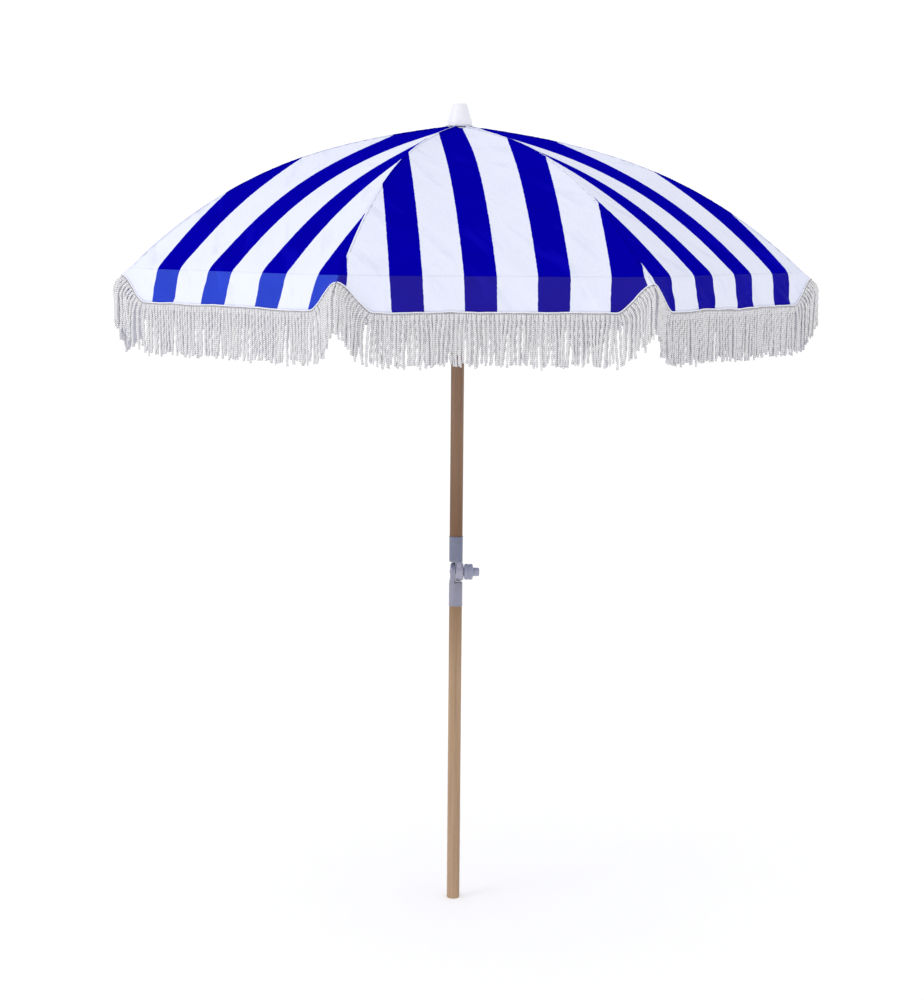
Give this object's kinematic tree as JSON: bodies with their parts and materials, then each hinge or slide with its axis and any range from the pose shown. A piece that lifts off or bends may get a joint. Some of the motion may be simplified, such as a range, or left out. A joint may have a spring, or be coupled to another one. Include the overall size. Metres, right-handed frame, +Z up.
{
  "type": "beach umbrella",
  "caption": "Folding beach umbrella: a wooden pole with a clamped tilt joint, a spring-caught runner, steel ribs and stretchers, and a striped canopy with a fringed valance.",
  "frame": {"origin": "centre of the lower pole's flat foot", "axes": "+Z up the pole; +X along the tilt joint's bolt towards its knob; -Y is the front, where the runner's catch is"},
  "size_m": [1.7838, 1.7838, 2.163],
  "materials": {
    "beech": "worn, clear-varnished hardwood with fine straight grain",
    "grey_casting": "satin grey paint on a casting",
    "zinc_steel": "dull zinc plate",
    "knob_plastic": "moulded grey plastic with a fluted rim",
    "white_plastic": "smooth moulded plastic",
    "canopy_cloth": "plain-woven cotton canvas in blue and white stripes",
    "fringe_cotton": "twisted off-white cotton cords on a woven heading"
  },
  "bodies": {
    "lower_pole": {"lower_pole": "beech", "tilt_lower_socket": "grey_casting", "lower_socket_screw": "zinc_steel", "tilt_bolt": "zinc_steel", "tilt_spring": "zinc_steel", "tilt_washer": "zinc_steel"},
    "upper_pole": {"upper_pole": "beech", "tilt_upper_socket": "grey_casting", "upper_socket_screw": "zinc_steel", "crown_hub": "white_plastic", "crown_ring": "zinc_steel", "finial": "white_plastic", "canopy_top_patch": "canopy_cloth", "catch_pin": "zinc_steel"},
    "knob": {"tilt_knob": "knob_plastic"},
    "catch": {"runner_catch": "zinc_steel"},
    "runner": {"runner": "white_plastic", "runner_ring": "zinc_steel"},
    "rib_1": {"rib_1": "zinc_steel", "rib_saddle_1": "white_plastic"},
    "stretcher_1": {"stretcher_1": "zinc_steel"},
    "panel_1": {"canopy_panel_1": "canopy_cloth"},
    "valance_1": {"valance_1": "canopy_cloth"},
    "rib_2": {"rib_2": "zinc_steel", "rib_saddle_2": "white_plastic"},
    "stretcher_2": {"stretcher_2": "zinc_steel"},
    "panel_2": {"canopy_panel_2": "canopy_cloth"},
    "valance_2": {"valance_2": "canopy_cloth"},
    "rib_3": {"rib_3": "zinc_steel", "rib_saddle_3": "white_plastic"},
    "stretcher_3": {"stretcher_3": "zinc_steel"},
    "panel_3": {"canopy_panel_3": "canopy_cloth"},
    "valance_3": {"valance_3": "canopy_cloth"},
    "rib_4": {"rib_4": "zinc_steel", "rib_saddle_4": "white_plastic"},
    "stretcher_4": {"stretcher_4": "zinc_steel"},
    "panel_4": {"canopy_panel_4": "canopy_cloth"},
    "valance_4": {"valance_4": "canopy_cloth"},
    "rib_5": {"rib_5": "zinc_steel", "rib_saddle_5": "white_plastic"},
    "stretcher_5": {"stretcher_5": "zinc_steel"},
    "panel_5": {"canopy_panel_5": "canopy_cloth"},
    "valance_5": {"valance_5": "canopy_cloth"},
    "rib_6": {"rib_6": "zinc_steel", "rib_saddle_6": "white_plastic"},
    "stretcher_6": {"stretcher_6": "zinc_steel"},
    "panel_6": {"canopy_panel_6": "canopy_cloth"},
    "valance_6": {"valance_6": "canopy_cloth"},
    "rib_7": {"rib_7": "zinc_steel", "rib_saddle_7": "white_plastic"},
    "stretcher_7": {"stretcher_7": "zinc_steel"},
    "panel_7": {"canopy_panel_7": "canopy_cloth"},
    "valance_7": {"valance_7": "canopy_cloth"},
    "rib_8": {"rib_8": "zinc_steel", "rib_saddle_8": "white_plastic"},
    "stretcher_8": {"stretcher_8": "zinc_steel"},
    "panel_8": {"canopy_panel_8": "canopy_cloth"},
    "valance_8": {"valance_8": "canopy_cloth"}
  },
  "joints": [
    {"name": "tilt", "type": "hinge", "parent": "lower_pole", "child": "upper_pole", "pos_m": [0, 0, 0.917], "axis": [1, 0, 0], "range_deg": [-45, 45]},
    {"name": "knob_turn", "type": "hinge", "parent": "lower_pole", "child": "knob", "pos_m": [0, 0, 0.917], "axis": [1, 0, 0], "continuous": true},
    {"name": "catch_press", "type": "hinge", "parent": "upper_pole", "child": "catch", "pos_m": [0, -0.0125, 1.73939], "axis": [1, 0, 0], "range_deg": [-6, 0], "stiffness_Nm_per_rad": 0.6, "springref_deg": 5.73},
    {"name": "fold", "type": "hinge", "parent": "upper_pole", "child": "rib_1", "pos_m": [0.0227, 0.01268, 2.09577], "axis": [-0.4879, 0.8729, 0], "range_deg": [0, 62], "deforming": ["runner_catch", "canopy_panel_1", "valance_1", "canopy_panel_2", "valance_2", "canopy_panel_3", "valance_3", "canopy_panel_4", "valance_4", "canopy_panel_5", "valance_5", "canopy_panel_6", "valance_6", "canopy_panel_7", "valance_7", "canopy_panel_8", "valance_8"]},
    {"name": "stretcher_1_turn", "type": "hinge", "parent": "rib_1", "child": "stretcher_1", "pos_m": [0.43349, 0.24227, 1.97898], "axis": [-0.4879, 0.8729, 0], "range_deg": [-124, 0]},
    {"name": "runner_slide", "type": "hinge", "parent": "stretcher_1", "child": "runner", "pos_m": [0.0227, 0.01268, 1.86219], "axis": [-0.4879, 0.8729, 0], "range_deg": [0, 62]},
    {"name": "panel_1_fold", "type": "hinge", "parent": "upper_pole", "child": "panel_1", "pos_m": [0.01489, 0.01885, 2.09577], "axis": [-0.7848, 0.6198, 0], "range_deg": [0, 60.01]},
    {"name": "valance_1_hang", "type": "hinge", "parent": "panel_1", "child": "valance_1", "pos_m": [0.51935, 0.65761, 1.73905], "axis": [-0.7848, 0.6198, 0], "range_deg": [-60.01, 0]},
    {"name": "rib_2_fold", "type": "hinge", "parent": "upper_pole", "child": "rib_2", "pos_m": [0.00708, 0.02502, 2.09577], "axis": [-0.9622, 0.2723, 0], "range_deg": [0, 62]},
    {"name": "stretcher_2_turn", "type": "hinge", "parent": "rib_2", "child": "stretcher_2", "pos_m": [0.13521, 0.47784, 1.97898], "axis": [-0.9622, 0.2723, 0], "range_deg": [-124, 0]},
    {"name": "panel_2_fold", "type": "hinge", "parent": "upper_pole", "child": "panel_2", "pos_m": [-0.0028, 0.02386, 2.09577], "axis": [-0.9932, -0.1167, 0], "range_deg": [0, 60.01]},
    {"name": "valance_2_hang", "type": "hinge", "parent": "panel_2", "child": "valance_2", "pos_m": [-0.09777, 0.83224, 1.73905], "axis": [-0.9932, -0.1167, 0], "range_deg": [-60.01, 0]},
    {"name": "rib_3_fold", "type": "hinge", "parent": "upper_pole", "child": "rib_3", "pos_m": [-0.01268, 0.0227, 2.09577], "axis": [-0.8729, -0.4879, 0], "range_deg": [0, 62]},
    {"name": "stretcher_3_turn", "type": "hinge", "parent": "rib_3", "child": "stretcher_3", "pos_m": [-0.24227, 0.43349, 1.97898], "axis": [-0.8729, -0.4879, 0], "range_deg": [-124, 0]},
    {"name": "panel_3_fold", "type": "hinge", "parent": "upper_pole", "child": "panel_3", "pos_m": [-0.01885, 0.01489, 2.09577], "axis": [-0.6198, -0.7848, 0], "range_deg": [0, 60.01]},
    {"name": "valance_3_hang", "type": "hinge", "parent": "panel_3", "child": "valance_3", "pos_m": [-0.65761, 0.51935, 1.73905], "axis": [-0.6198, -0.7848, 0], "range_deg": [-60.01, 0]},
    {"name": "rib_4_fold", "type": "hinge", "parent": "upper_pole", "child": "rib_4", "pos_m": [-0.02502, 0.00708, 2.09577], "axis": [-0.2723, -0.9622, 0], "range_deg": [0, 62]},
    {"name": "stretcher_4_turn", "type": "hinge", "parent": "rib_4", "child": "stretcher_4", "pos_m": [-0.47784, 0.13521, 1.97898], "axis": [-0.2723, -0.9622, 0], "range_deg": [-124, 0]},
    {"name": "panel_4_fold", "type": "hinge", "parent": "upper_pole", "child": "panel_4", "pos_m": [-0.02386, -0.0028, 2.09577], "axis": [0.1167, -0.9932, 0], "range_deg": [0, 60.01]},
    {"name": "valance_4_hang", "type": "hinge", "parent": "panel_4", "child": "valance_4", "pos_m": [-0.83224, -0.09777, 1.73905], "axis": [0.1167, -0.9932, 0], "range_deg": [-60.01, 0]},
    {"name": "rib_5_fold", "type": "hinge", "parent": "upper_pole", "child": "rib_5", "pos_m": [-0.0227, -0.01268, 2.09577], "axis": [0.4879, -0.8729, 0], "range_deg": [0, 62]},
    {"name": "stretcher_5_turn", "type": "hinge", "parent": "rib_5", "child": "stretcher_5", "pos_m": [-0.43349, -0.24227, 1.97898], "axis": [0.4879, -0.8729, 0], "range_deg": [-124, 0]},
    {"name": "panel_5_fold", "type": "hinge", "parent": "upper_pole", "child": "panel_5", "pos_m": [-0.01489, -0.01885, 2.09577], "axis": [0.7848, -0.6198, 0], "range_deg": [0, 60.01]},
    {"name": "valance_5_hang", "type": "hinge", "parent": "panel_5", "child": "valance_5", "pos_m": [-0.51935, -0.65761, 1.73905], "axis": [0.7848, -0.6198, 0], "range_deg": [-60.01, 0]},
    {"name": "rib_6_fold", "type": "hinge", "parent": "upper_pole", "child": "rib_6", "pos_m": [-0.00708, -0.02502, 2.09577], "axis": [0.9622, -0.2723, 0], "range_deg": [0, 62]},
    {"name": "stretcher_6_turn", "type": "hinge", "parent": "rib_6", "child": "stretcher_6", "pos_m": [-0.13521, -0.47784, 1.97898], "axis": [0.9622, -0.2723, 0], "range_deg": [-124, 0]},
    {"name": "panel_6_fold", "type": "hinge", "parent": "upper_pole", "child": "panel_6", "pos_m": [0.0028, -0.02386, 2.09577], "axis": [0.9932, 0.1167, 0], "range_deg": [0, 60.01]},
    {"name": "valance_6_hang", "type": "hinge", "parent": "panel_6", "child": "valance_6", "pos_m": [0.09777, -0.83224, 1.73905], "axis": [0.9932, 0.1167, 0], "range_deg": [-60.01, 0]},
    {"name": "rib_7_fold", "type": "hinge", "parent": "upper_pole", "child": "rib_7", "pos_m": [0.01268, -0.0227, 2.09577], "axis": [0.8729, 0.4879, 0], "range_deg": [0, 62]},
    {"name": "stretcher_7_turn", "type": "hinge", "parent": "rib_7", "child": "stretcher_7", "pos_m": [0.24227, -0.43349, 1.97898], "axis": [0.8729, 0.4879, 0], "range_deg": [-124, 0]},
    {"name": "panel_7_fold", "type": "hinge", "parent": "upper_pole", "child": "panel_7", "pos_m": [0.01885, -0.01489, 2.09577], "axis": [0.6198, 0.7848, 0], "range_deg": [0, 60.01]},
    {"name": "valance_7_hang", "type": "hinge", "parent": "panel_7", "child": "valance_7", "pos_m": [0.65761, -0.51935, 1.73905], "axis": [0.6198, 0.7848, 0], "range_deg": [-60.01, 0]},
    {"name": "rib_8_fold", "type": "hinge", "parent": "upper_pole", "child": "rib_8", "pos_m": [0.02502, -0.00708, 2.09577], "axis": [0.2723, 0.9622, 0], "range_deg": [0, 62]},
    {"name": "stretcher_8_turn", "type": "hinge", "parent": "rib_8", "child": "stretcher_8", "pos_m": [0.47784, -0.13521, 1.97898], "axis": [0.2723, 0.9622, 0], "range_deg": [-124, 0]},
    {"name": "panel_8_fold", "type": "hinge", "parent": "upper_pole", "child": "panel_8", "pos_m": [0.02386, 0.0028, 2.09577], "axis": [-0.1167, 0.9932, 0], "range_deg": [0, 60.01]},
    {"name": "valance_8_hang", "type": "hinge", "parent": "panel_8", "child": "valance_8", "pos_m": [0.83224, 0.09777, 1.73905], "axis": [-0.1167, 0.9932, 0], "range_deg": [-60.01, 0]}
  ],
  "couplings": [
    {"joint": "stretcher_1_turn", "follows": "fold", "ratio": -2},
    {"joint": "runner_slide", "follows": "fold", "ratio": 1},
    {"joint": "panel_1_fold", "follows": "fold", "ratio": 0.96774},
    {"joint": "valance_1_hang", "follows": "fold", "ratio": -0.96774},
    {"joint": "rib_2_fold", "follows": "fold", "ratio": 1},
    {"joint": "stretcher_2_turn", "follows": "fold", "ratio": -2},
    {"joint": "panel_2_fold", "follows": "fold", "ratio": 0.96774},
    {"joint": "valance_2_hang", "follows": "fold", "ratio": -0.96774},
    {"joint": "rib_3_fold", "follows": "fold", "ratio": 1},
    {"joint": "stretcher_3_turn", "follows": "fold", "ratio": -2},
    {"joint": "panel_3_fold", "follows": "fold", "ratio": 0.96774},
    {"joint": "valance_3_hang", "follows": "fold", "ratio": -0.96774},
    {"joint": "rib_4_fold", "follows": "fold", "ratio": 1},
    {"joint": "stretcher_4_turn", "follows": "fold", "ratio": -2},
    {"joint": "panel_4_fold", "follows": "fold", "ratio": 0.96774},
    {"joint": "valance_4_hang", "follows": "fold", "ratio": -0.96774},
    {"joint": "rib_5_fold", "follows": "fold", "ratio": 1},
    {"joint": "stretcher_5_turn", "follows": "fold", "ratio": -2},
    {"joint": "panel_5_fold", "follows": "fold", "ratio": 0.96774},
    {"joint": "valance_5_hang", "follows": "fold", "ratio": -0.96774},
    {"joint": "rib_6_fold", "follows": "fold", "ratio": 1},
    {"joint": "stretcher_6_turn", "follows": "fold", "ratio": -2},
    {"joint": "panel_6_fold", "follows": "fold", "ratio": 0.96774},
    {"joint": "valance_6_hang", "follows": "fold", "ratio": -0.96774},
    {"joint": "rib_7_fold", "follows": "fold", "ratio": 1},
    {"joint": "stretcher_7_turn", "follows": "fold", "ratio": -2},
    {"joint": "panel_7_fold", "follows": "fold", "ratio": 0.96774},
    {"joint": "valance_7_hang", "follows": "fold", "ratio": -0.96774},
    {"joint": "rib_8_fold", "follows": "fold", "ratio": 1},
    {"joint": "stretcher_8_turn", "follows": "fold", "ratio": -2},
    {"joint": "panel_8_fold", "follows": "fold", "ratio": 0.96774},
    {"joint": "valance_8_hang", "follows": "fold", "ratio": -0.96774}
  ]
}
